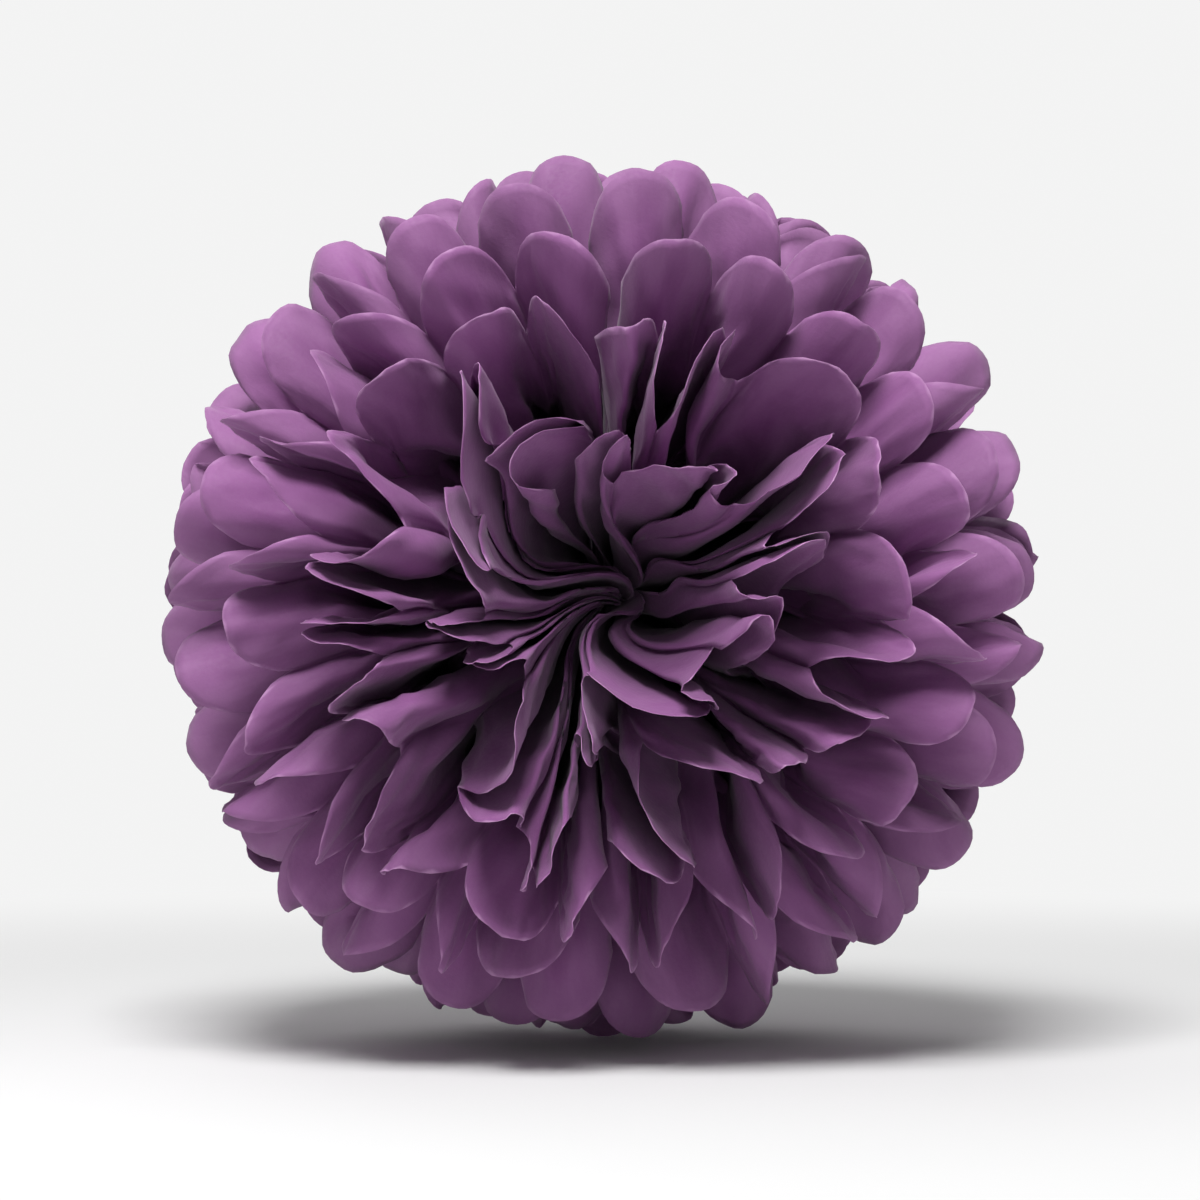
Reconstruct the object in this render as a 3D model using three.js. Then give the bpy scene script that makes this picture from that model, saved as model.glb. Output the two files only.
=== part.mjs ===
// Tissue paper pom pom, fluffed into a ball about 240 mm across.
//
// Twelve tissue sheets are pleated together, trimmed round at both ends and tied across the middle with
// wire. Each end then opens into a fan of petals, one petal for each pleat panel, and the sheets are pulled
// apart one by one: six to the front and six to the back. Every sheet is one piece of paper, from the tips
// of its left fan, through the gathered neck under the wire, to the tips of its right fan.
//
// Millimetres, +Z up. The origin is the tie, at the ball's centre. The flower's axis is Y and its front
// faces -Y. The two fans of a sheet part along the upright plane X = 0, where the wire's ends come out.

import * as THREE from "three";

// Paper
const sheetReach = 123; // from the gathered neck to the tip of a petal
const sheetWidth = 508; // across the pleats, before folding
const petalsPerFan = 14; // pleat panels across the sheet
const notchDepth = 21; // how far the round trim cuts back the folds between petals
const roundEnd = 2.2; // power of the trim: 2 leaves a round petal end, more a squarer one
const trimSpread = 3; // how much the petals differ in length
const paperThickness = 0.5; // stands in for tissue of about 0.03 mm
const sheetGap = 0.7; // clear space between two sheets where they are tied
const sheetsPerFace = 6;

// Gathered middle
const neckWidth = 10; // the bundle of pleats under the wire
const neckLength = 4; // flat paper along X under the wire, on the innermost sheets
const gatherReach = 17; // from the neck to where the pleats have opened into a fan
const fanParting = 1.6; // from the plane X = 0 to the first and last fold of a fan

// Fluffing, with the angles in degrees. The inner values hold at the flower's middle, the outer at the
// ball's edge.
const innerCone = 20; // between the flower's axis and the innermost petals
const edgeGap = 2; // between the outermost petals and the plane that parts front from back
const coneEasing = 0.95; // over 1 leaves more room between the outer sheets
const innerCurl = -35; // how far a petal bends outwards along its length, or inwards where it is negative
const outerCurl = 84;
const curlEasing = 1.3; // over 1 keeps more of the sheets bent inwards
const bellyAngle = 66; // how steeply the roundest petal falls away to its two folds
const leastBelly = 0.8; // of the flattest petal, as a share of the roundest one's
const steepestPleat = 80; // how steeply the paper may run in a pleat, so that no pleat folds under itself
const pleatGrowth = 1.25; // over 1 leaves the pleats shallower near the tie
const sheetTurn = 3; // each sheet is turned about the axis, one way and the other in turn
const innerBunching = 2.4; // how unevenly the pleats open, 0 being evenly
const outerBunching = 0.15;
const bunchingFrom = 0.3; // share of the reach at which the pleats begin to differ
const bunchingBy = 0.85;
const innerShut = 0.06; // the least that a pleat opens, as a share of a petal's width
const outerShut = 0.5;
const leastFold = 0.01; // how far short of flat the widest pleat stays, as the same share
const innerLean = 13; // how far groups of petals lean in or out
const outerLean = 1;
const inwardLean = 5; // how far the innermost petals close over the middle
const leanFade = 1.6; // how soon the leaning falls off from the middle to the edge
const fanSlip = 6; // how far the two fans of the innermost sheets slip past each other
const flickDepth = 12; // how far the most flicked petal's tip is bent outwards
const leastFlick = 0.4; // of the least flicked petal, as a share of that
const flickGrowth = 4; // over 1 keeps the flick near the tip
const axisClearance = 3; // petals stop about this far from the flower's axis
const sheetClearance = 3; // a petal stops this far from half way to the next sheet
const crowding = 4; // how late a petal feels the next sheet: more is later

// Waves of leaning petals round the axis: how many, how strong, and how far they drift from sheet to sheet.
const leanWaves = [
  { count: 3, strength: 0.7, drift: 20 },
  { count: 5, strength: 0.6, drift: -26 },
];

// Places where fingers have pushed the petals open and turned them. They lie on a flat picture of the
// front, in which the ball's edge is 1 from the middle. The back is teased likewise, turned half round.
const teasedPlaces = [
  { across: -0.22, up: 0.11, width: 0.1, opened: 0.8, turned: 40 },
  { across: -0.07, up: 0.21, width: 0.08, opened: 0.6, turned: -50 },
  { across: 0.09, up: -0.07, width: 0.08, opened: 0.5, turned: 60 },
  { across: -0.17, up: -0.2, width: 0.1, opened: 0.6, turned: -45 },
  { across: 0.1, up: -0.26, width: 0.1, opened: 0.7, turned: 40 },
  { across: 0.26, up: -0.02, width: 0.09, opened: 0.6, turned: -50 },
  { across: 0.17, up: 0.2, width: 0.09, opened: 0.5, turned: 50 },
  { across: -0.03, up: 0.06, width: 0.09, opened: 0.7, turned: 70 },
  { across: 0.05, up: -0.04, width: 0.09, opened: 0.3, turned: -80 },
];
const teasedFrom = 20; // from the tie to where the teasing begins
const teasedBy = 80; // and to where it is full

// Round the ball's edge the petals are pushed over from the front to the back and from the back to the
// front, so that no straight gap is left between them: how many waves, how far and from where, in degrees.
const seamWaves = [
  { count: 7, height: 6, start: 30 },
  { count: 4, height: 4, start: 100 },
];
const seamWidth = 0.4; // how far from the edge that reaches, as a share of the ball's radius

// Tie wire
const wireDiameter = 0.9;
const wireClearance = 0.35;
const tailLength = 16;
const tailTurns = 3;
const strandGap = 0.1; // between the two twisted ends

// Mesh steps
const stepsPerPetal = 8; // along a row, while the pleats are worked out
const tipColumns = 4; // for each petal at the cut edge
const middleColumns = 2; // for each petal at the row between the neck and the tips
const middleShare = 0.625; // how far out that row lies, as a share of the reach
const petalsPerNeckColumn = 3;
const normalPasses = 30; // while the direction of a fold is worked out
const wireSides = 6;
const stepsPerTwist = 6;
const stepsPerCorner = 3;

const degree = Math.PI / 180;
const halfTurn = Math.PI;
const mix = (from, to, share) => from + (to - from) * share;

const outerCone = 90 - edgeGap;
const petalWidth = sheetWidth / petalsPerFan;
const petalAngle = halfTurn / petalsPerFan;
const sheetPitch = paperThickness + sheetGap;
const stackHalfHeight = (sheetsPerFace - 0.5) * sheetPitch + paperThickness / 2;

const violetTissue = new THREE.MeshStandardMaterial({ color: 0x80508a, roughness: 0.85, metalness: 0 });
const plainWire = new THREE.MeshStandardMaterial({ color: 0x9a9a98, roughness: 0.4, metalness: 0.9 });

// A repeatable number from 0 to 1 for one petal of one fan, so that no two petals are fluffed alike. The
// figures in it only scatter the numbers.
function chance(fan, petal, use) {
  const place = fan.layer + (fan.face > 0 ? 0 : 20) + (fan.side > 0 ? 0 : 50);
  const mixed = Math.sin(place * 127.1 + petal * 311.7 + use * 74.7) * 43758.5453;
  return mixed - Math.floor(mixed);
}

const openingUse = 1;
const flickUse = 2;
const bellyUse = 3;
const trimUse = 4;

// A value that belongs to each petal's middle, blended from petal to petal so that the paper stays whole.
function blended(fan, across, use) {
  const place = THREE.MathUtils.clamp(across - 0.5, 0, petalsPerFan - 1);
  const petal = Math.min(Math.floor(place), petalsPerFan - 2);
  return mix(chance(fan, petal, use), chance(fan, petal + 1, use), place - petal);
}

// How far out a sheet lies: 0 for the innermost, 1 for the one at the ball's edge.
const outness = (layer) => layer / Math.max(1, sheetsPerFace - 1);
const leanFaded = (layer) => Math.min(1, leanFade * outness(layer));
const coneOf = (layer) => mix(innerCone, outerCone, outness(layer) ** coneEasing) * degree;
const curlOf = (layer) => mix(innerCurl, outerCurl, outness(layer) ** curlEasing) * degree;

// One fan of one sheet. face is 1 at the front and -1 at the back, side is 1 on the right and -1 on the left.
function makeFan(face, layer, side) {
  const share = outness(layer);
  return {
    layer,
    side,
    face,
    cone: coneOf(layer),
    curl: curlOf(layer),
    bunching: mix(innerBunching, outerBunching, share),
    shut: mix(innerShut, outerShut, share),
    slip: side * mix(fanSlip, 0, leanFaded(layer)),
    turn: (layer % 2 ? 1 : -1) * sheetTurn * degree,
    twist: face > 0 ? 0 : petalAngle,
    neckRise: (sheetsPerFace - 0.5 - layer) * sheetPitch,
    neckHalf: neckLength / 2 + layer * sheetPitch,
  };
}

// Where the paper of a fan runs when its pleats are left out: an arc from the neck, found by its chord.
function arcAt(fan, reach) {
  const halfBend = (fan.curl * reach) / sheetReach / 2;
  const direction = fan.cone - fan.curl / 2 + halfBend;
  const chord = halfBend ? (reach * Math.sin(halfBend)) / halfBend : reach;
  return {
    tilt: direction + halfBend,
    out: fan.neckHalf + chord * Math.sin(direction),
    rise: fan.neckRise + chord * Math.cos(direction),
  };
}

// Walks across a fan in equal steps of paper. Each petal turns to one side or the other, and bellies out
// between its folds, so the row meanders: spread is the share of the fan gone by, depth the swing.
function meander(fan, reach) {
  const grown = reach / sheetReach;
  const fullness = sheetWidth / (halfTurn * arcAt(fan, reach).out);
  const unevenness = THREE.MathUtils.smoothstep(grown, bunchingFrom, bunchingBy);
  const spread = [0];
  const depth = [0];
  for (let petal = 0; petal < petalsPerFan; petal++) {
    const opening = (1 + fan.bunching) * chance(fan, petal, openingUse) ** fan.bunching;
    const belly = bellyAngle * degree * mix(leastBelly, 1, chance(fan, petal, bellyUse)) * grown;
    const flatness = mix(1, opening, unevenness) / fullness / Math.cos(belly / Math.SQRT2);
    const steepest = Math.SQRT2 * Math.acos(THREE.MathUtils.clamp(flatness, fan.shut, 1 - leastFold));
    const hand = petal % 2 ? -1 : 1;
    for (let step = 0; step < stepsPerPetal; step++) {
      const inPetal = (halfTurn * (step + 0.5)) / stepsPerPetal;
      const turning = hand * steepest * Math.sin(inPetal) - belly * Math.cos(inPetal);
      const heading = THREE.MathUtils.clamp(turning, -steepestPleat * degree, steepestPleat * degree);
      spread.push(spread.at(-1) + Math.cos(heading));
      depth.push(depth.at(-1) + (Math.sin(heading) * petalWidth) / stepsPerPetal);
    }
  }
  return {
    spread: spread.map((value) => value / spread.at(-1)),
    depth: depth.map((value, i) => value - meanNear(depth, i, stepsPerPetal)),
  };
}

function meanNear(values, index, reach) {
  let sum = 0;
  for (let i = index - reach; i <= index + reach; i++) {
    sum += values[THREE.MathUtils.clamp(i, 0, values.length - 1)];
  }
  return sum / (2 * reach + 1);
}

// Groups of petals lean together, in waves round the axis that drift a little from sheet to sheet.
function leanAt(face, layer, azimuth) {
  const place = layer + (face * sheetsPerFace) / 2;
  const heights = leanWaves.map(
    (wave) => wave.strength * Math.sin(wave.count * azimuth + wave.drift * degree * place),
  );
  const height = heights.reduce((sum, value) => sum + value, 0);
  return height * mix(innerLean, outerLean, leanFaded(layer)) - mix(inwardLean, 0, leanFaded(layer));
}

// Keeps a swing of the paper on its own side of half way to the sheets in front and behind.
function keptApart(fan, azimuth, grown, swing) {
  const middle = (layer) =>
    coneOf(layer) - (curlOf(layer) * (1 - grown)) / 2 + leanAt(fan.face, layer, azimuth) / sheetReach;
  const own = middle(fan.layer);
  const inside = fan.layer > 0 ? middle(fan.layer - 1) : -own;
  const outside = fan.layer < sheetsPerFace - 1 ? middle(fan.layer + 1) : halfTurn - own;
  const between = swing < 0 ? own - inside : outside - own;
  const room = ((between / 2) * sheetReach - sheetClearance) * grown;
  return swing / (1 + Math.abs(swing / room) ** crowding) ** (1 / crowding);
}

// Moves the paper as fingers did at the teased places. All sheets of a face move together there, so they
// keep their order.
function teased(point, face) {
  const distance = point.length();
  const amount = THREE.MathUtils.smoothstep(distance, teasedFrom, teasedBy);
  const flat = new THREE.Vector2(point.x, point.y).divideScalar(distance + face * point.z);
  for (const place of teasedPlaces) {
    const middle = new THREE.Vector2(place.across, place.up).multiplyScalar(face);
    const near = amount * Math.exp(-flat.distanceToSquared(middle) / place.width ** 2);
    flat.rotateAround(middle, place.turned * degree * near);
    flat.sub(middle).multiplyScalar(1 + place.opened * near).add(middle);
  }
  const scale = (2 * distance) / (1 + flat.lengthSq());
  const moved = new THREE.Vector3(flat.x * scale, flat.y * scale, face * (scale - distance));
  return pushedOver(moved, amount);
}

// Turns the paper near the ball's edge towards the front or the back, both faces alike.
function pushedOver(point, amount) {
  const azimuth = Math.atan2(point.y, point.x);
  const heights = seamWaves.map((wave) => wave.height * Math.sin(wave.count * azimuth + wave.start * degree));
  const height = heights.reduce((sum, value) => sum + value, 0) * degree;
  const nearEdge = Math.exp(-((point.z / point.length() / seamWidth) ** 2));
  const out = Math.hypot(point.x, point.y);
  const rise = Math.atan2(point.z, out) + amount * nearEdge * height;
  const scale = (point.length() * Math.cos(rise)) / out;
  return new THREE.Vector3(point.x * scale, point.y * scale, point.length() * Math.sin(rise));
}

// A row of points across one fan. rowReach is how far out it lies, and reachAt trims it at each place.
function pleatedRow(fan, columnsPerPetal, rowReach, reachAt) {
  const row = meander(fan, rowReach);
  const grown = rowReach / sheetReach;
  const points = [];
  for (let column = 0; column <= petalsPerFan * columnsPerPetal; column++) {
    const across = column / columnsPerPetal;
    const step = across * stepsPerPetal;
    const reach = reachAt(across);
    const arc = arcAt(fan, reach);
    const parting = Math.asin(Math.min(1, fanParting / arc.out));
    const spread = mix(parting, halfTurn - parting, row.spread[step]) - halfTurn / 2;
    const azimuth = fan.side > 0 ? spread : halfTurn - spread;
    const flicked = mix(leastFlick, 1, blended(fan, across, flickUse));
    const flick = flickDepth * flicked * (reach / sheetReach) ** flickGrowth;
    const pleat = row.depth[step] * grown ** pleatGrowth + flick;
    const turned = azimuth + fan.turn * grown ** 2 + fan.twist;
    const swing = keptApart(fan, turned, grown, pleat) + leanAt(fan.face, fan.layer, turned) * grown;
    const radius = keptOffAxis(arc.out + swing * Math.cos(arc.tilt), axisClearance * grown);
    const point = new THREE.Vector3(
      radius * Math.cos(turned),
      radius * Math.sin(turned) + fan.slip * grown ** 2,
      fan.face * (arc.rise - swing * Math.sin(arc.tilt)),
    );
    point.multiplyScalar(mix(1, reach / Math.hypot(reach, swing), grown)); // a swing turns about the tie
    points.push(teased(point, fan.face));
  }
  return points;
}

// Leaves a large distance as it is, and bends a small or negative one smoothly back above zero.
function keptOffAxis(distance, clearance) {
  return (distance + Math.hypot(distance, 2 * clearance)) / 2;
}

// How far the paper reaches at a place on the cut edge: a round end on every petal, cut back at the folds.
function trimmedReach(fan, across) {
  const offMiddle = Math.abs(2 * (across % 1) - 1);
  const cutBack = notchDepth * offMiddle ** roundEnd;
  return sheetReach - cutBack - trimSpread * blended(fan, across, trimUse);
}

function neckRow(fan) {
  const columns = Math.ceil(petalsPerFan / petalsPerNeckColumn);
  return Array.from(
    { length: columns + 1 },
    (_, i) =>
      new THREE.Vector3(fan.side * fan.neckHalf, (i / columns - 0.5) * neckWidth, fan.face * fan.neckRise),
  );
}

// The rows of points of one fan, from the neck out to the cut edge.
function fanRows(fan) {
  return [
    neckRow(fan),
    pleatedRow(fan, 1, gatherReach, () => gatherReach),
    pleatedRow(fan, middleColumns, middleShare * sheetReach, () => middleShare * sheetReach),
    pleatedRow(fan, tipColumns, sheetReach, (across) => trimmedReach(fan, across)),
  ];
}

// Triangles between two rows of points that run the same way but may have different counts.
function stitch(first, second) {
  const triangles = [];
  let i = 0;
  let j = 0;
  const lastI = first.length - 1;
  const lastJ = second.length - 1;
  while (i < lastI || j < lastJ) {
    if (j === lastJ || (i < lastI && (i + 1) * lastJ <= (j + 1) * lastI)) {
      triangles.push([first[i], first[i + 1], second[j]]);
      i += 1;
    } else {
      triangles.push([first[i], second[j + 1], second[j]]);
      j += 1;
    }
  }
  return triangles;
}

// The edges that only one triangle uses, each in that triangle's direction.
function openEdges(triangles) {
  const edges = triangles.flatMap(([a, b, c]) => [[a, b], [b, c], [c, a]]);
  const used = new Set(edges.map(([a, b]) => `${a} ${b}`));
  return edges.filter(([a, b]) => !used.has(`${b} ${a}`));
}

// The direction that the paper faces at each point: as squarely out of all the triangles there as it can be,
// so that the two skins of a sharp fold don't pass through each other.
function skinNormals(points, skin) {
  const facings = points.map(() => []);
  for (const corners of skin) {
    const facing = THREE.Triangle.getNormal(...corners.map((corner) => points[corner]), new THREE.Vector3());
    for (const corner of corners) facings[corner].push(facing);
  }
  return facings.map((around) => {
    const normal = around.reduce((sum, facing) => sum.add(facing), new THREE.Vector3()).normalize();
    for (let pass = 0; pass < normalPasses; pass++) {
      const squareness = around.map((facing) => facing.dot(normal));
      const least = around[squareness.indexOf(Math.min(...squareness))];
      normal.addScaledVector(least, 1 / (pass + 2)).normalize();
    }
    return normal;
  });
}

// Rows of points become paper of the set thickness: a skin on each side, and a wall along the cut edges.
function paperGeometry(rows) {
  const points = rows.flat();
  const count = points.length;
  const numbers = [...points.keys()];
  const numbered = rows.map((row) => numbers.splice(0, row.length));
  const skin = numbered.slice(1).flatMap((row, i) => stitch(numbered[i], row));
  const normals = skinNormals(points, skin);
  const shifted = (distance) => points.map((point, i) => point.clone().addScaledVector(normals[i], distance));
  const walls = openEdges(skin).flatMap(([a, b]) => [
    [b, a, a + count],
    [b, a + count, b + count],
  ]);
  const under = skin.map(([a, b, c]) => [a + count, c + count, b + count]);
  const both = [...shifted(paperThickness / 2), ...shifted(-paperThickness / 2)];
  const solid = new THREE.BufferGeometry().setFromPoints(both).setIndex([...skin, ...under, ...walls].flat());
  solid.computeVertexNormals();
  return solid;
}

function tissueSheet(face, layer) {
  const left = fanRows(makeFan(face, layer, -1)).reverse();
  const right = fanRows(makeFan(face, layer, 1));
  const sheet = new THREE.Mesh(paperGeometry([...left, ...right]), violetTissue);
  sheet.name = `${face > 0 ? "front" : "back"}_sheet_${layer + 1}`;
  return sheet;
}

// The wire's middle line: down one twisted end, round the bundle of paper, and up the other end.
function wireLine() {
  const offset = wireDiameter / 2 + wireClearance;
  const twistRadius = (wireDiameter + strandGap) / 2;
  const tailFoot = neckWidth / 2 + offset + twistRadius;
  const corners = [
    [1, 1],
    [-1, 1],
    [-1, -1],
    [1, -1],
  ];
  const loop = corners.flatMap(([up, front], corner) =>
    Array.from({ length: stepsPerCorner + 1 }, (_, i) => {
      const angle = ((corner + i / stepsPerCorner) * halfTurn) / 2;
      const y = (up * neckWidth) / 2 + offset * Math.cos(angle);
      return new THREE.Vector3(0, y, front * stackHalfHeight + offset * Math.sin(angle));
    }),
  );
  const steps = tailTurns * stepsPerTwist;
  const strand = (start) =>
    Array.from({ length: steps + 1 }, (_, i) => {
      const angle = start + (i / stepsPerTwist) * 2 * halfTurn;
      const y = tailFoot + (tailLength * i) / steps;
      return new THREE.Vector3(twistRadius * Math.sin(angle), y, twistRadius * Math.cos(angle));
    });
  return new THREE.CatmullRomCurve3([...strand(0).reverse(), ...loop, ...strand(halfTurn)]);
}

function tieWire() {
  const section = new THREE.Shape().absarc(0, 0, wireDiameter / 2, 0, 2 * halfTurn);
  const line = wireLine();
  const geometry = new THREE.ExtrudeGeometry(section, {
    extrudePath: line,
    steps: line.points.length - 1,
    curveSegments: wireSides / 2,
  });
  const wire = new THREE.Mesh(geometry, plainWire);
  wire.name = "tie_wire";
  return wire;
}

// The pieces are laid out with the flower's axis along Z, then the group tips it forward to face -Y.
const pomPom = new THREE.Group();
for (const face of [1, -1]) {
  for (let layer = 0; layer < sheetsPerFace; layer++) pomPom.add(tissueSheet(face, layer));
}
pomPom.add(tieWire());
pomPom.rotation.x = halfTurn / 2;

export default new THREE.Group().add(pomPom);
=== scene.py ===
import math
import bpy
import numpy as np
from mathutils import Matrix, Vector


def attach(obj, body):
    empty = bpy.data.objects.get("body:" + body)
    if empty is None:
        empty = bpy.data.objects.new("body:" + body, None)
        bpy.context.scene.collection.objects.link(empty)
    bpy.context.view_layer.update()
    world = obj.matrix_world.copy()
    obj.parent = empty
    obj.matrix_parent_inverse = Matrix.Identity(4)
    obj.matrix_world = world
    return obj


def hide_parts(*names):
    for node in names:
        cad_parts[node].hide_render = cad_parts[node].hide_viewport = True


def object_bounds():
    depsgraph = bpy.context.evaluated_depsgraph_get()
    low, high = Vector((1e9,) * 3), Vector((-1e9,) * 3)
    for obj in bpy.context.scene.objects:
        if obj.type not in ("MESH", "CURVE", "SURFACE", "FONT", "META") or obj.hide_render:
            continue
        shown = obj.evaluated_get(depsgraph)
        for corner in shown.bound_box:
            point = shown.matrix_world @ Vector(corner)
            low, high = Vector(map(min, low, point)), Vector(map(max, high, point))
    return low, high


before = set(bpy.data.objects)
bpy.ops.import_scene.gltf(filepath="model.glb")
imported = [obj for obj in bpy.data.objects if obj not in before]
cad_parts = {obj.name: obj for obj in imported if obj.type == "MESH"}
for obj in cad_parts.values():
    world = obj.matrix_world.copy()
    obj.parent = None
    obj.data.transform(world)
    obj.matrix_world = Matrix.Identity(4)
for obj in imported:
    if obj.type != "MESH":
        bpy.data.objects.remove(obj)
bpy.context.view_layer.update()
bpy.ops.object.select_all(action="DESELECT")
print("frame loaded:", len(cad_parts), "nodes")

mm = 0.001  # the paper is worked out in millimetres, its mesh is in metres

# one sheet of tissue, before and after it is tied
tissue = {
    "reach": 123.0,  # gathered neck to petal tip
    "width": 508.0,  # across the pleats before folding
    "length": 254.5,  # tip to tip before folding
    "petals": 14,  # pleat panels across the sheet
    "notch": 21.0,  # depth of the round trim between petals
    "roundEnd": 2.2,  # 2 is a round end, more is squarer
    "trimSpread": 3.0,  # how much petals differ in length
    "sheetsPerFace": 6,
    "pitch": 1.2,  # sheet to sheet under the wire
    "thickness": 0.12,
    "neckWidth": 10.0,
    "neckLength": 4.0,  # flat paper under the wire, on the innermost sheets
    "neckFlare": 0.3,  # how fast the neck widens into a fan
    "neckPaper": 4.0,  # flat paper from the fold under the wire to a fan
    "gather": 17.0,  # neck to where the pleats have opened
    "parting": 1.6,  # plane X = 0 to the first fold of a fan
    "columns": 18,  # mesh columns for each petal
    "rows": 36,  # mesh rows from neck to tip
    "rowCrowding": 0.8,  # under 1 crowds the rows towards the tip
}

# how the ball is fluffed: pairs run from the middle of the flower to its edge,
# and the ones called Over are shares of the reach over which something comes in
fluff = {
    "cone": (20.0, 88.0),  # degrees from the axis
    "coneEasing": 0.95,
    "curl": (-35.0, 84.0),  # bend of a petal along its length, inwards at the middle
    "curlEasing": 1.3,
    "bunching": (2.4, 0.15),  # how unevenly the pleats open
    "bunchingOver": (0.3, 0.85),
    "shut": (0.06, 0.5),  # least opening of a pleat
    "leastFold": 0.01,  # how far short of flat the widest pleat stays
    "leastFullness": 1.02,
    "belly": 66.0,  # how round a petal is between its folds
    "leastBelly": 0.8,
    "bellyOver": (0.4, 0.95),
    "steepest": 80.0,  # of the paper in a pleat
    "turn": 3.0,  # of each sheet about the axis, one way and the other
    "lean": (13.0, 1.0),  # how far groups of petals lean in or out
    "leanWaves": ((3, 0.7, 20.0), (5, 0.6, -26.0)),  # count, strength, drift from sheet to sheet
    "leanFade": 1.6,
    "inwardLean": 5.0,
    "slip": 6.0,  # of the two innermost fans past each other
    "flick": 12.0,  # of a petal's tip outwards
    "leastFlick": 0.4,
    "flickGrowth": 4,
    "axisClearance": 3.0,
    "sheetClearance": 3.0,
    "crowding": 4,  # how late a petal feels the next sheet
    "crowdingOver": (0.35, 0.75),
    "pleatOver": (-0.05, 0.3),
    "pleatFullness": (1.1, 0.42),  # extra depth of the pleats inside the ball
    "pleatFullnessOver": (0.5, 0.95),
    "foldRoundness": (0.45, 0.95),  # sharp folds near the tie, soft ones at the tip
    "foldRoundnessOver": (0.3, 1.0),
}

# places teased open by fingers: across, up, width, opened, turned
teasedPlaces = (
    (-0.22, 0.11, 0.10, 0.8, 40),
    (-0.07, 0.21, 0.08, 0.6, -50),
    (0.09, -0.07, 0.08, 0.5, 60),
    (-0.17, -0.20, 0.10, 0.6, -45),
    (0.10, -0.26, 0.10, 0.7, 40),
    (0.26, -0.02, 0.09, 0.6, -50),
    (0.17, 0.20, 0.09, 0.5, 50),
    (-0.03, 0.06, 0.09, 0.7, 70),
    (0.05, -0.04, 0.09, 0.3, -80),
)
teasedOver = (20.0, 80.0)  # distance from the tie

# petals pushed over the ball's edge: waves round it, degrees, start
seamWaves = ((7, 6.0, 30.0), (4, 4.0, 100.0))
seamWidth = 0.4

# what each chance number of a petal is for
chanceUse = {"opening": 1, "flick": 2, "belly": 3, "trim": 4, "tone": 5}
chanceFactors = {"fan": 127.1, "petal": 311.7, "use": 74.7, "scatter": 43758.5453}
backFans, leftFans = 20, 50  # added to a fan's number, so that no two fans share their chances

tiny = 1e-6
cosineMean = math.sqrt(0.5)  # root mean square of a cosine
petalWidth = tissue["width"] / tissue["petals"]
across = np.linspace(0, tissue["petals"], tissue["petals"] * tissue["columns"] + 1)
rowShares = np.linspace(0, 1, tissue["rows"]) ** tissue["rowCrowding"]


def mix(start, end, share):
    return start + (end - start) * share


def smooth(low, high, value):
    share = np.clip((value - low) / (high - low), 0, 1)
    return share * share * (3 - 2 * share)


def fanNumber(face, layer, side):
    return layer + (0 if face > 0 else backFans) + (0 if side > 0 else leftFans)


def chances(number, use):  # repeatable numbers from 0 to 1, one for each petal of a fan
    factors = chanceFactors
    values = []
    for petal in range(tissue["petals"]):
        angle = number * factors["fan"] + petal * factors["petal"] + chanceUse[use] * factors["use"]
        values.append(math.sin(angle) * factors["scatter"])
    return np.array([value - math.floor(value) for value in values])


def blended(number, use, places):  # from petal to petal, so that the paper stays whole
    return np.interp(places, np.arange(tissue["petals"]) + 0.5, chances(number, use))


def outness(layer):
    return layer / (tissue["sheetsPerFace"] - 1)


def leanFaded(layer):
    return min(1, fluff["leanFade"] * outness(layer))


def coneOf(layer):
    return math.radians(mix(*fluff["cone"], outness(layer) ** fluff["coneEasing"]))


def curlOf(layer):
    return math.radians(mix(*fluff["curl"], outness(layer) ** fluff["curlEasing"]))


def neckHalf(layer):
    return tissue["neckLength"] / 2 + layer * tissue["pitch"]


def neckRise(layer):
    return (tissue["sheetsPerFace"] - 0.5 - layer) * tissue["pitch"]


def leanAt(face, layer, azimuth):
    place = layer + face * tissue["sheetsPerFace"] / 2
    waves = sum(w * np.sin(n * azimuth + math.radians(d) * place) for n, w, d in fluff["leanWaves"])
    fade = leanFaded(layer)
    return waves * mix(*fluff["lean"], fade) - mix(fluff["inwardLean"], 0, fade)


def keptApart(face, layer, azimuth, grown, swing):  # stops a petal half way to the next sheet
    def middle(k):
        return coneOf(k) - curlOf(k) * (1 - grown) / 2 + leanAt(face, k, azimuth) / tissue["reach"]

    own = middle(layer)
    inside = middle(layer - 1) if layer else -own
    outside = middle(layer + 1) if layer < tissue["sheetsPerFace"] - 1 else np.pi - own
    between = np.where(swing < 0, own - inside, outside - own)
    room = np.abs((between / 2 * tissue["reach"] - fluff["sheetClearance"]) * grown)
    crowded = (swing / np.maximum(room, tiny)) ** fluff["crowding"]
    return swing / (1 + crowded) ** (1 / fluff["crowding"])


def rollingMean(values, half):
    padded = np.concatenate([np.full(half, values[0]), values, np.full(half, values[-1])])
    total = np.concatenate([[0], np.cumsum(padded)])
    return (total[2 * half + 1:] - total[:-2 * half - 1]) / (2 * half + 1)


def cutEdge(number, places):  # how far the paper reaches, round at every petal
    inPetal = 2 * (places - np.minimum(np.floor(places), tissue["petals"] - 1)) - 1
    cutBack = tissue["notch"] * np.abs(inPetal) ** tissue["roundEnd"]
    return tissue["reach"] - cutBack - tissue["trimSpread"] * blended(number, "trim", places)


def arcAt(layer, reach):  # tilt, distance from the axis and rise of the paper without its pleats
    halfBend = curlOf(layer) * reach / tissue["reach"] / 2
    direction = coneOf(layer) - curlOf(layer) / 2 + halfBend
    chord = reach * np.sinc(halfBend / np.pi)
    out = neckHalf(layer) + chord * np.sin(direction)
    return direction + halfBend, out, neckRise(layer) + chord * np.cos(direction)


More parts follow.
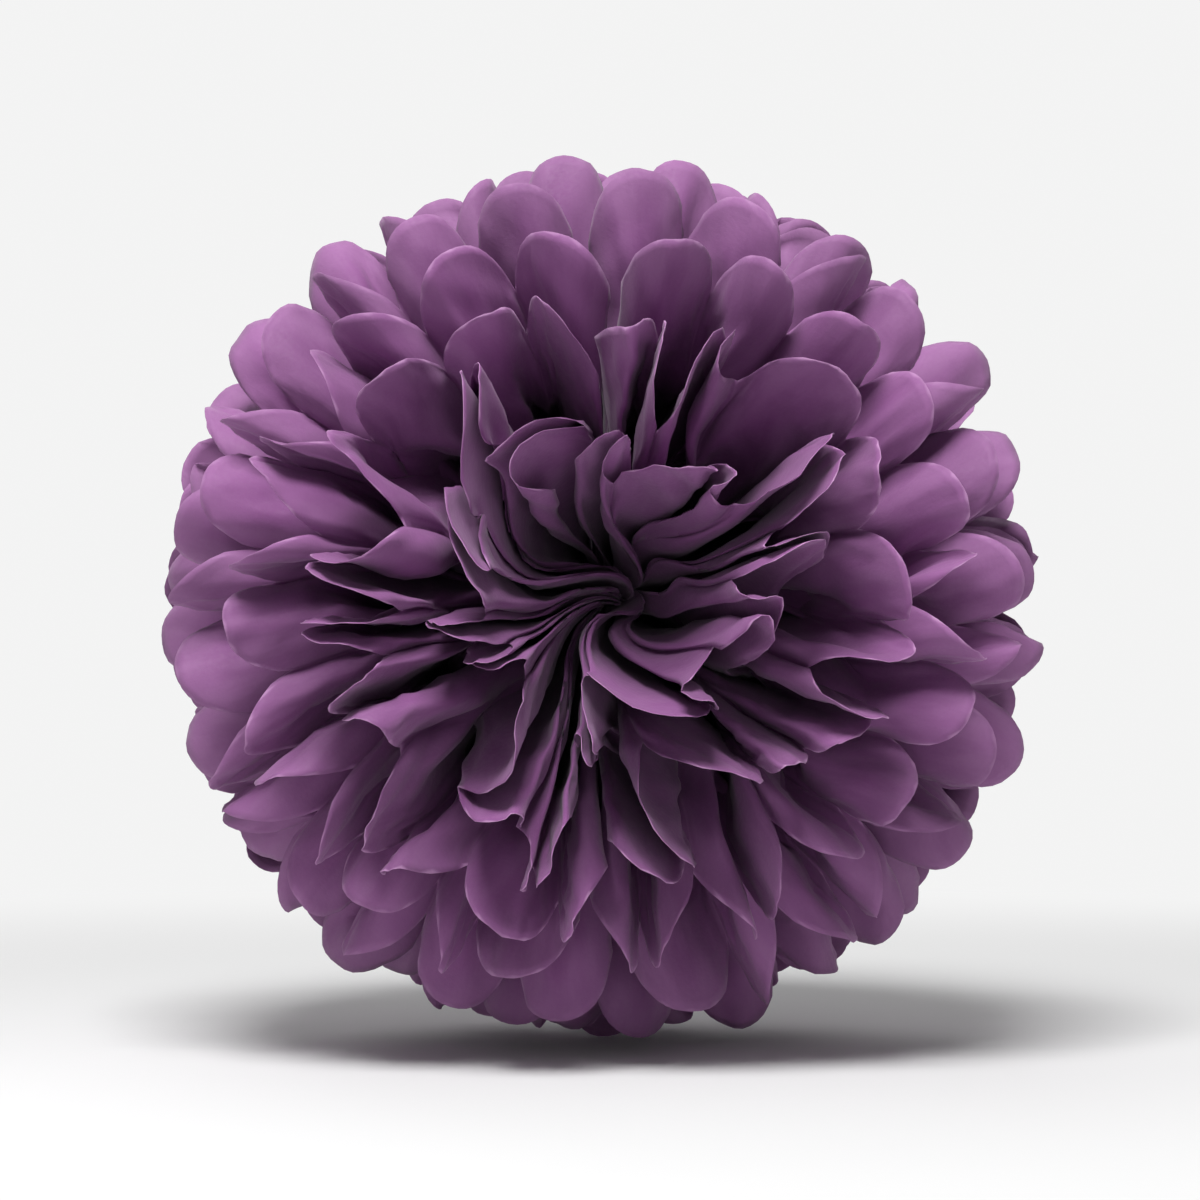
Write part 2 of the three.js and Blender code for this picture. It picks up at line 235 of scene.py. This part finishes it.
def meander(number, layer, step):  # a walk across a fan: share of the way gone, and swing of the pleats
    between = (across[1:] + across[:-1]) / 2
    petal = between.astype(int)
    hand = np.where(petal % 2, -1.0, 1.0)
    bump = np.abs(np.sin(np.pi * (between - petal)))
    bow = np.cos(np.pi * (between - petal))
    share = outness(layer)
    bunching = mix(*fluff["bunching"], share)
    opening = ((1 + bunching) * chances(number, "opening") ** bunching)[petal]
    opened = mix(1, opening, smooth(*fluff["bunchingOver"], step))
    belly = math.radians(fluff["belly"]) * mix(fluff["leastBelly"], 1, chances(number, "belly"))[petal]
    belly = belly * smooth(*fluff["bellyOver"], step)
    fullness = tissue["width"] / (math.pi * arcAt(layer, step * tissue["reach"])[1])
    flatness = opened / max(fluff["leastFullness"], fullness) / np.cos(belly * cosineMean)
    flatness = np.clip(flatness, mix(*fluff["shut"], share), 1 - fluff["leastFold"])
    power = mix(*fluff["foldRoundness"], smooth(*fluff["foldRoundnessOver"], step))
    heading = hand * np.arccos(flatness) / math.sqrt((bump ** (2 * power)).mean()) * bump ** power
    steepest = math.radians(fluff["steepest"])
    heading = np.clip(heading - belly * bow, -steepest, steepest)
    spread = np.concatenate([[0], np.cumsum(np.cos(heading))])
    depth = np.concatenate([[0], np.cumsum(np.sin(heading))]) * petalWidth / tissue["columns"]
    depth -= rollingMean(depth, tissue["columns"])
    extra = mix(*fluff["pleatFullness"], share) * (1 - smooth(*fluff["pleatFullnessOver"], step))
    return spread / spread[-1], depth * smooth(*fluff["pleatOver"], step) * (1 + extra)


def fanRow(face, layer, side, step, tip):
    number = fanNumber(face, layer, side)
    reach = step * tip
    tilt, out, rise = arcAt(layer, reach)
    spread, depth = meander(number, layer, step)
    parting = np.arcsin(np.minimum(1, tissue["parting"] / out))
    azimuth = mix(parting, np.pi - parting, spread) - np.pi / 2
    if side < 0:
        azimuth = np.pi - azimuth
    turn = (1 if layer % 2 else -1) * math.radians(fluff["turn"])
    twist = 0 if face > 0 else math.pi / tissue["petals"]
    fromNeck = step * tissue["reach"]
    azimuth = azimuth + turn * step ** 2 + twist * min(1, fromNeck / tissue["gather"])

    flick = fluff["flick"] * mix(fluff["leastFlick"], 1, blended(number, "flick", across))
    pleat = depth + flick * (reach / tissue["reach"]) ** fluff["flickGrowth"]
    crowded = smooth(*fluff["crowdingOver"], step)
    if crowded:
        pleat = mix(pleat, keptApart(face, layer, azimuth, step, pleat), crowded)
    swing = pleat + leanAt(face, layer, azimuth) * step
    radius = out + swing * np.cos(tilt)
    radius = (radius + np.hypot(radius, 2 * fluff["axisClearance"] * step)) / 2  # keeps off the axis
    slip = side * mix(fluff["slip"], 0, leanFaded(layer)) * step ** 2
    fan = np.stack(
        [radius * np.cos(azimuth), radius * np.sin(azimuth) + slip, rise - swing * np.sin(tilt)], -1
    )
    shortened = reach / np.maximum(np.hypot(reach, swing), tiny)  # a swing turns about the tie
    fan *= mix(1, shortened, step)[:, None]
    neck = np.stack(
        [
            side * (neckHalf(layer) + tissue["neckFlare"] * reach),
            (across / tissue["petals"] - 0.5) * tissue["neckWidth"],
            np.full(reach.shape, neckRise(layer)),
        ],
        -1,
    )
    return mix(neck, fan, smooth(0, tissue["gather"], fromNeck)) * (1, 1, face)


def tease(points, face):  # moves all sheets of a face together, so they keep their order
    points = points * (1, 1, face)
    distance = np.linalg.norm(points, axis=-1)
    amount = smooth(*teasedOver, distance)
    flat = points[..., :2] / (distance + points[..., 2])[..., None]
    for acrossPlace, upPlace, width, opened, turned in teasedPlaces:
        middle = np.array([acrossPlace, upPlace]) * face
        away = flat - middle
        near = np.exp(-(away ** 2).sum(-1) / width ** 2) * amount
        angle = math.radians(turned) * near
        cos, sin = np.cos(angle), np.sin(angle)
        x, y = away[..., 0], away[..., 1]
        flat = middle + np.stack([x * cos - y * sin, x * sin + y * cos], -1) * (1 + opened * near)[..., None]
    scale = 2 * distance / (1 + (flat ** 2).sum(-1))
    moved = np.concatenate([flat * scale[..., None], (face * (scale - distance))[..., None]], -1)
    return pushOver(moved, distance, amount)


def pushOver(points, distance, amount):  # front and back move alike, so the seam between them wanders
    azimuth = np.arctan2(points[..., 1], points[..., 0])
    height = sum(math.radians(h) * np.sin(n * azimuth + math.radians(start)) for n, h, start in seamWaves)
    nearEdge = np.exp(-(points[..., 2] / distance / seamWidth) ** 2)
    out = np.hypot(points[..., 0], points[..., 1])
    rise = np.arctan2(points[..., 2], out) + amount * nearEdge * height
    scale = (distance * np.cos(rise) / out)[..., None]
    return np.concatenate([points[..., :2] * scale, (distance * np.sin(rise))[..., None]], -1)


def edgeDistance(tip, number):  # from each point to the cut edge, on the flat paper
    stepsPerPetal = 24
    places = np.linspace(0, tissue["petals"], tissue["petals"] * stepsPerPetal + 1)
    cut = np.stack([places * petalWidth, cutEdge(number, places)], -1)
    rows = []
    for step in rowShares:
        here = np.stack([across * petalWidth, step * tip], -1)
        rows.append(np.sqrt(((here[:, None] - cut[None]) ** 2).sum(-1)).min(1))
    return np.array(rows)


def gridNormals(grid):
    normal = np.cross(np.gradient(grid, axis=0), np.gradient(grid, axis=1))
    return normal / np.maximum(np.linalg.norm(normal, axis=-1, keepdims=True), tiny)


# shallow wandering creases, and the ripple of a cut edge, in millimetres
crinkle = {
    "seed": 40,
    "waves": 7,
    "height": 0.65,
    "across": 5.0,  # from crease to crease
    "sizes": (0.8, 2.4),
    "slant": 0.45,
    "along": 17.0,  # how soon a crease wanders, along the pleats and across them
    "sideways": 31.0,
    "wander": 1.6,
    "ripple": 0.375,
    "rippleSize": 4.1,
    "rippleDrift": 2.2,  # how far its waves wander, and how soon
    "rippleDriftSize": 23.0,
    "rippleReach": 5.0,  # in from the cut edge
    "over": (25.0, 60.0),  # from the tie
}


def creases(flat, edge, number):
    rng = np.random.default_rng(crinkle["seed"] + number)
    height = 0
    for wave in range(crinkle["waves"]):
        angle = rng.normal(0, crinkle["slant"])
        size = crinkle["across"] * rng.uniform(*crinkle["sizes"])
        phase = rng.uniform(0, 2 * np.pi)
        drift = rng.uniform(0, 2 * np.pi)
        bend = crinkle["wander"] * np.sin(flat[..., 1] / crinkle["along"] + drift)
        bend = bend + np.sin(flat[..., 0] / crinkle["sideways"] + 2 * drift)
        place = (flat[..., 0] * math.cos(angle) + flat[..., 1] * math.sin(angle)) / size
        height = height + np.sin(2 * np.pi * place + phase + bend) * size / crinkle["across"]
    drift = crinkle["rippleDrift"] * np.sin(flat[..., 0] / crinkle["rippleDriftSize"] + number)
    ripple = np.sin(flat[..., 0] / crinkle["rippleSize"] + drift) * np.exp(-edge / crinkle["rippleReach"])
    creased = height / crinkle["waves"] * crinkle["height"]
    return (creased + ripple * crinkle["ripple"]) * smooth(*crinkle["over"], np.abs(flat[..., 1]))


def setPointValues(mesh, name, values):
    layer = mesh.attributes.new(name, "FLOAT", "POINT")
    layer.data.foreach_set("value", np.ascontiguousarray(values).ravel())


def paperMesh(name, grid, flat):
    rows, columns = grid.shape[:2]
    index = np.arange(rows * columns).reshape(rows, columns)
    quads = np.stack([index[:-1, :-1], index[1:, :-1], index[1:, 1:], index[:-1, 1:]], -1).reshape(-1, 4)
    mesh = bpy.data.meshes.new(name)
    mesh.from_pydata((grid.reshape(-1, 3) * mm).tolist(), [], quads.tolist())
    mesh.update()
    paperMap = mesh.uv_layers.new(name="paper")  # the flat sheet, in metres
    corners = np.zeros(len(mesh.loops), int)
    mesh.loops.foreach_get("vertex_index", corners)
    paperMap.data.foreach_set("uv", (flat.reshape(-1, 2)[corners] * mm).ravel())
    return mesh


def addSheet(face, layer):
    name = f"{'front' if face > 0 else 'back'}_sheet_{layer + 1}"
    left, right = fanNumber(face, layer, -1), fanNumber(face, layer, 1)
    leftTip, rightTip = cutEdge(left, across), cutEdge(right, across)
    leftFan = [fanRow(face, layer, -1, step, leftTip) for step in rowShares]
    rightFan = [fanRow(face, layer, 1, step, rightTip) for step in rowShares]
    grid = tease(np.array(leftFan[::-1] + rightFan), face)
    grid = np.stack([grid[..., 0], -grid[..., 2], grid[..., 1]], -1)  # the flower faces -Y
    edge = np.concatenate([edgeDistance(leftTip, left)[::-1], edgeDistance(rightTip, right)])
    leftAlong = -(rowShares[:, None] * leftTip)[::-1] - tissue["neckPaper"]
    along = np.concatenate([leftAlong, rowShares[:, None] * rightTip + tissue["neckPaper"]])
    flat = np.stack([np.broadcast_to(across * petalWidth, along.shape), along], -1)
    creaseNumber = layer + (0 if face > 0 else tissue["sheetsPerFace"])
    grid = grid + gridNormals(grid) * creases(flat, edge, creaseNumber)[..., None]

    mesh = paperMesh(name + "_paper", grid, flat)
    foldGap = np.abs(across - np.round(across)) * petalWidth
    setPointValues(mesh, "edgeGap", edge)
    setPointValues(mesh, "foldGap", np.broadcast_to(foldGap, along.shape))
    setPointValues(mesh, "depthShare", np.abs(along) / tissue["reach"])
    setPointValues(mesh, "outness", np.full(along.shape, outness(layer)))
    leftTone, rightTone = (np.repeat(chances(fan, "tone"), tissue["columns"]) for fan in (left, right))
    tones = np.array([leftTone] * tissue["rows"] + [rightTone] * (tissue["rows"] - 1))
    mesh.attributes.new("petalTone", "FLOAT", "FACE").data.foreach_set("value", tones.ravel())

    piece = bpy.data.objects.new(name + "_tissue", mesh)
    bpy.context.scene.collection.objects.link(piece)
    bpy.context.view_layer.objects.active = piece
    piece.select_set(True)
    thick = piece.modifiers.new("thickness", "SOLIDIFY")
    thick.thickness = tissue["thickness"] * mm
    thick.offset = 0
    bpy.ops.object.modifier_apply(modifier="thickness")
    bpy.ops.object.shade_smooth()
    piece.select_set(False)
    return piece, name


def feed(tree, socket, value):  # another node's socket is linked, a number or a colour is set
    if isinstance(value, bpy.types.NodeSocket):
        tree.links.new(value, socket)
    elif socket.type == "RGBA":
        socket.default_value = (*value, 1)
    else:
        socket.default_value = value


def addNode(tree, kind, inputs, **settings):
    made = tree.nodes.new(kind)
    for key, value in settings.items():
        setattr(made, key, value)
    for key, value in inputs.items():
        feed(tree, made.inputs[key], value)
    return made


def addMath(tree, operation, first, second):
    return addNode(tree, "ShaderNodeMath", {0: first, 1: second}, operation=operation).outputs[0]


def addNoise(tree, vector, scale, detail, roughness):
    inputs = {"Vector": vector, "Scale": scale, "Detail": detail, "Roughness": roughness}
    return addNode(tree, "ShaderNodeTexNoise", inputs).outputs["Fac"]


def addRamp(tree, value, valueRange, outRange, interpolation="SMOOTHSTEP"):
    inputs = {"Value": value}
    inputs["From Min"], inputs["From Max"] = valueRange
    inputs["To Min"], inputs["To Max"] = outRange
    return addNode(tree, "ShaderNodeMapRange", inputs, interpolation_type=interpolation).outputs["Result"]


def addBlend(tree, share, first, second, kind="MIX"):  # sockets 6 and 7 are the two colours, 2 the result
    inputs = {0: share, 6: first, 7: second}
    return addNode(tree, "ShaderNodeMix", inputs, data_type="RGBA", blend_type=kind).outputs[2]


def newMaterial(name):
    material = bpy.data.materials.new(name)
    material.use_nodes = True
    return material, material.node_tree, material.node_tree.nodes["Principled BSDF"]


# violet tissue; widths are in millimetres on the paper
tissueLook = {
    "deep": (0.150, 0.043, 0.150),
    "mid": (0.255, 0.078, 0.255),
    # pale violet: for pale streaks and worn folds, and for painted highlights at cut edges and tips
    "paleAndHighlight": (0.520, 0.270, 0.510),
    "petalTone": 0.35,  # share of the tone that goes by petal, the rest is cloudy
    "toneRange": (0.25, 0.75),
    "leastTone": 0.35,
    "cloud": (45, 2, 0.5),  # scale, detail and roughness of the noises
    "fibre": (900, 3, 0.65),
    "streak": (160, 3, 0.55),
    "streakStretch": (1, 0.3, 1),  # along the pleats
    "streakRange": (0.35, 0.7),
    "streakShare": 0.14,
    "foldWidth": 0.9,
    "foldShare": 0.18,
    "tipHighlightWidth": (1.0, 18.0),  # painted highlight: lighter colour at the tips of the outer petals
    "tipHighlightShare": 0.32,
    "rimWidth": (0.25, 1.1),
    "rimShare": (0.95, 0.18),  # cut edges bright at the middle, fainter outside: partly the paler fibre of a cut edge, partly a painted highlight
    "rimOutness": (0.2, 0.8),
    "rimBreaks": (0.35, 0.6),  # cloudiness over which a rim comes and goes
    "leastRim": 0.35,
    "paintedShade": 0.38,  # painted shade: how dark the colour is made down in the folds near the tie
    "paintedShadeRange": (0.4, 0.95),  # share of the reach
    "roughness": (0.62, 0.82),
    "roughnessRange": (0.3, 0.7),
    "sheen": 0.12,
    "sheenRoughness": 0.6,
    "specular": 0.35,
    "bumpMix": (0.6, 0.4),  # streaks and fibres
    "bump": (0.35, 0.0006),  # strength and height
}


def tissueMaterial():
    look = tissueLook
    material, tree, shader = newMaterial("violetTissue")
    shader.inputs["Sheen Weight"].default_value = look["sheen"]
    shader.inputs["Sheen Roughness"].default_value = look["sheenRoughness"]
    shader.inputs["Specular IOR Level"].default_value = look["specular"]

    def attribute(name):
        return addNode(tree, "ShaderNodeAttribute", {}, attribute_name=name).outputs["Fac"]

    paperMap = addNode(tree, "ShaderNodeUVMap", {}, uv_map="paper").outputs["UV"]
    place = tree.nodes.new("ShaderNodeTexCoord").outputs["Object"]
    stretch = {"Vector": paperMap, "Scale": look["streakStretch"]}
    stretched = addNode(tree, "ShaderNodeMapping", stretch).outputs["Vector"]
    cloud = addNoise(tree, place, *look["cloud"])
    fibre = addNoise(tree, paperMap, *look["fibre"])
    streak = addNoise(tree, stretched, *look["streak"])
    edgeGap = attribute("edgeGap")
    sheetOutness = attribute("outness")

    byPetal = addMath(tree, "MULTIPLY", attribute("petalTone"), look["petalTone"])
    cloudy = addMath(tree, "MULTIPLY", cloud, 1 - look["petalTone"])
    tone = addRamp(tree, addMath(tree, "ADD", byPetal, cloudy), look["toneRange"], (look["leastTone"], 1))
    colour = addBlend(tree, tone, look["deep"], look["mid"])
    streaks = addRamp(tree, streak, look["streakRange"], (0, look["streakShare"]))
    colour = addBlend(tree, streaks, colour, look["paleAndHighlight"])
    fold = addRamp(tree, attribute("foldGap"), (0, look["foldWidth"]), (look["foldShare"], 0))
    colour = addBlend(tree, fold, colour, look["paleAndHighlight"])
    # painted highlight: lighter colour at the petal tips, more on the outer sheets
    tip = addRamp(tree, edgeGap, look["tipHighlightWidth"], (look["tipHighlightShare"], 0))
    colour = addBlend(tree, addMath(tree, "MULTIPLY", tip, sheetOutness), colour, look["paleAndHighlight"])
    # cut edges made paler: partly the paler fibre of a cut edge, partly a painted highlight, strongest on
    # the inner sheets
    paleAndHighlight = addRamp(tree, edgeGap, look["rimWidth"], (1, 0))
    paleAndHighlight = addMath(tree, "MULTIPLY", paleAndHighlight, addRamp(tree, sheetOutness, look["rimOutness"], look["rimShare"]))
    paleAndHighlight = addMath(tree, "MULTIPLY", paleAndHighlight, addRamp(tree, cloud, look["rimBreaks"], (look["leastRim"], 1)))
    colour = addBlend(tree, paleAndHighlight, colour, look["paleAndHighlight"])
    # painted shade: colour darkened towards the tie, deep inside the ball
    paintedShade = addRamp(tree, attribute("depthShare"), look["paintedShadeRange"], (look["paintedShade"], 1))
    feed(tree, shader.inputs["Base Color"], addBlend(tree, 1, colour, paintedShade, "MULTIPLY"))
    roughness = addRamp(tree, fibre, look["roughnessRange"], look["roughness"])
    feed(tree, shader.inputs["Roughness"], roughness)

    streakHeight = addMath(tree, "MULTIPLY", streak, look["bumpMix"][0])
    fibreHeight = addMath(tree, "MULTIPLY", fibre, look["bumpMix"][1])
    bump = {"Height": addMath(tree, "ADD", streakHeight, fibreHeight)}
    bump["Strength"], bump["Distance"] = look["bump"]
    feed(tree, shader.inputs["Normal"], addNode(tree, "ShaderNodeBump", bump).outputs["Normal"])
    return material


violetTissue = tissueMaterial()
for face in (1, -1):
    for layer in range(tissue["sheetsPerFace"]):
        piece, nodeName = addSheet(face, layer)
        piece.data.materials.append(violetTissue)
        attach(piece, "root")
        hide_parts(nodeName)
print("tissue sheets made:", 2 * tissue["sheetsPerFace"])

# plain soft wire, a little stained
wireLook = {
    "dark": (0.30, 0.30, 0.29),
    "pale": (0.52, 0.52, 0.51),
    "stain": (900, 2, 0.5),  # scale, detail and roughness of the noise
    "roughness": (0.28, 0.5),
}


def wireMaterial():
    material, tree, shader = newMaterial("plainWire")
    shader.inputs["Metallic"].default_value = 1
    place = tree.nodes.new("ShaderNodeTexCoord").outputs["Object"]
    stain = addNoise(tree, place, *wireLook["stain"])
    feed(tree, shader.inputs["Base Color"], addBlend(tree, stain, wireLook["dark"], wireLook["pale"]))
    feed(tree, shader.inputs["Roughness"], addRamp(tree, stain, (0, 1), wireLook["roughness"], "LINEAR"))
    return material


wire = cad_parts["tie_wire"]
wire.data.materials.clear()
wire.data.materials.append(wireMaterial())
print("tie wire finished")

# floor, background and lamps, in metres and watts
stageLook = {
    "floorRadius": 4.0,
    "floorCorners": 96,
    "floorColour": (0.80, 0.80, 0.80),
    "floorRoughness": 0.9,
    "background": (0.90, 0.90, 0.90),
    "worldColour": (1, 1, 1),
    "worldStrength": 0.15,
    "fade": (0.22, 0.7),  # from the middle, over which the floor turns into the background
}
lamps = {  # place, size and power
    "keyLamp": ((-0.10, -0.60, 1.00), 0.5, 16.5),
    "sideLamp": ((0.3, -1.5, 0.5), 1.0, 0.6),
    "backLamp": ((-0.3, 1.3, 0.9), 1.0, 6.0),
}


def seenPlainly(tree):  # 1 where a camera, mirror or glass ray meets the surface
    path = tree.nodes.new("ShaderNodeLightPath").outputs
    seen = addMath(tree, "MAXIMUM", path["Is Camera Ray"], path["Is Glossy Ray"])
    return addMath(tree, "MAXIMUM", seen, path["Is Transmission Ray"])


def addFloor():
    bpy.ops.mesh.primitive_circle_add(
        vertices=stageLook["floorCorners"],
        radius=stageLook["floorRadius"],
        fill_type="NGON",
        location=(0, 0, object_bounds()[0].z),
    )
    floor = bpy.context.object
    floor.name = "floor"
    bpy.ops.object.transform_apply(location=True)
    material, tree, shader = newMaterial("paleFloor")
    feed(tree, shader.inputs["Base Color"], stageLook["floorColour"])
    shader.inputs["Roughness"].default_value = stageLook["floorRoughness"]
    place = tree.nodes.new("ShaderNodeTexCoord").outputs["Object"]
    distance = addNode(tree, "ShaderNodeVectorMath", {0: place}, operation="LENGTH").outputs["Value"]
    fade = addRamp(tree, distance, stageLook["fade"], (0, 1))
    share = addMath(tree, "MULTIPLY", fade, seenPlainly(tree))
    plain = addNode(tree, "ShaderNodeEmission", {"Color": stageLook["background"]})
    mixed = addNode(tree, "ShaderNodeMixShader", {0: share, 1: shader.outputs[0], 2: plain.outputs[0]})
    feed(tree, tree.nodes["Material Output"].inputs["Surface"], mixed.outputs[0])
    floor.data.materials.append(material)


def addWorld():
    world = bpy.data.worlds.new("studio")
    bpy.context.scene.world = world
    world.use_nodes = True
    tree = world.node_tree
    light = tree.nodes["Background"]
    feed(tree, light.inputs["Color"], stageLook["worldColour"])
    light.inputs["Strength"].default_value = stageLook["worldStrength"]
    plain = addNode(tree, "ShaderNodeBackground", {"Color": stageLook["background"]})
    inputs = {0: seenPlainly(tree), 1: light.outputs[0], 2: plain.outputs[0]}
    mixed = addNode(tree, "ShaderNodeMixShader", inputs)
    feed(tree, tree.nodes["World Output"].inputs["Surface"], mixed.outputs[0])


def addLamp(name, location, size, power):
    bpy.ops.object.light_add(type="AREA", location=location)
    lamp = bpy.context.object
    lamp.name = name
    lamp.data.size = size
    lamp.data.energy = power
    lamp.rotation_euler = (-Vector(location)).to_track_quat("-Z", "Y").to_euler()


addFloor()
addWorld()
for name, settings in lamps.items():
    addLamp(name, *settings)
print("stage and lamps set")

cameraLook = {"distance": 1.3, "frameWidth": 0.33}  # metres seen across at the ball's middle
bpy.ops.object.camera_add(location=(0, -cameraLook["distance"], 0), rotation=(math.pi / 2, 0, 0))
camera = bpy.context.object
camera.data.angle = 2 * math.atan(cameraLook["frameWidth"] / 2 / cameraLook["distance"])
bpy.context.scene.camera = camera
bpy.context.scene.view_settings.view_transform = "Standard"
print("camera set")
